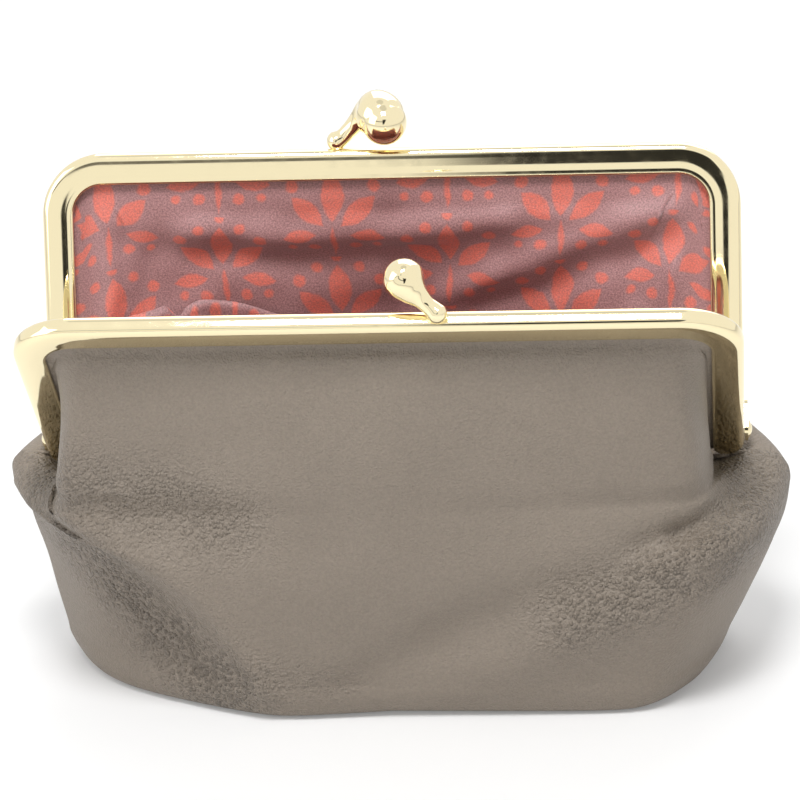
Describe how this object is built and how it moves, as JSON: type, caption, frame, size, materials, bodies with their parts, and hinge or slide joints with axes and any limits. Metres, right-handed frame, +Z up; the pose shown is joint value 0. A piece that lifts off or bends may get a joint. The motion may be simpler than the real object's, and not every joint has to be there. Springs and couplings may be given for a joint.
{
  "type": "kiss lock frame purse",
  "caption": "small purse with a hinged two-part metal frame, a kissing ball clasp, a soft leather bag, a printed satin lining and an inside slip pocket",
  "frame": {"origin": "on the table directly below the hinge axis, in the middle of the purse's width, on the flat leather that the purse stands on", "axes": "+X along the two bars, +Y towards the back half, +Z up"},
  "size_m": [0.1703, 0.0785, 0.123],
  "materials": {
    "gold_metal": "polished pale gold plating",
    "leather": "soft matt pebbled taupe leather",
    "satin": "plum satin with a small all-over print",
    "fleece": "bonded non-woven interlining",
    "paper": "twisted paper cord",
    "thread": "polyester sewing thread"
  },
  "bodies": {
    "bag": {"outer_front_panel": "leather", "outer_back_panel": "leather", "front_interlining": "fleece", "back_interlining": "fleece", "front_lining": "satin", "back_lining": "satin", "slip_pocket": "satin", "pocket_stitching": "thread", "left_side_stitching": "thread", "right_side_stitching": "thread", "bottom_stitching": "thread"},
    "front_half": {"front_frame": "gold_metal", "front_clasp": "gold_metal", "front_clasp_rivet": "gold_metal", "front_paper_cord": "paper"},
    "back_half": {"back_frame": "gold_metal", "back_clasp": "gold_metal", "back_clasp_rivet": "gold_metal", "back_paper_cord": "paper", "left_hinge_rivet": "gold_metal", "right_hinge_rivet": "gold_metal"}
  },
  "joints": [
    {"name": "front_hinge", "type": "hinge", "parent": "bag", "child": "front_half", "pos_m": [0, 0, 0.05], "axis": [1, 0, 0], "range_deg": [-43.7, 31.3], "deforming": ["outer_front_panel", "front_interlining", "front_lining"]},
    {"name": "back_hinge", "type": "hinge", "parent": "bag", "child": "back_half", "pos_m": [0, 0, 0.05], "axis": [-1, 0, 0], "range_deg": [-14.6, 60.4], "deforming": ["outer_back_panel", "back_interlining", "back_lining", "slip_pocket", "pocket_stitching"]}
  ]
}
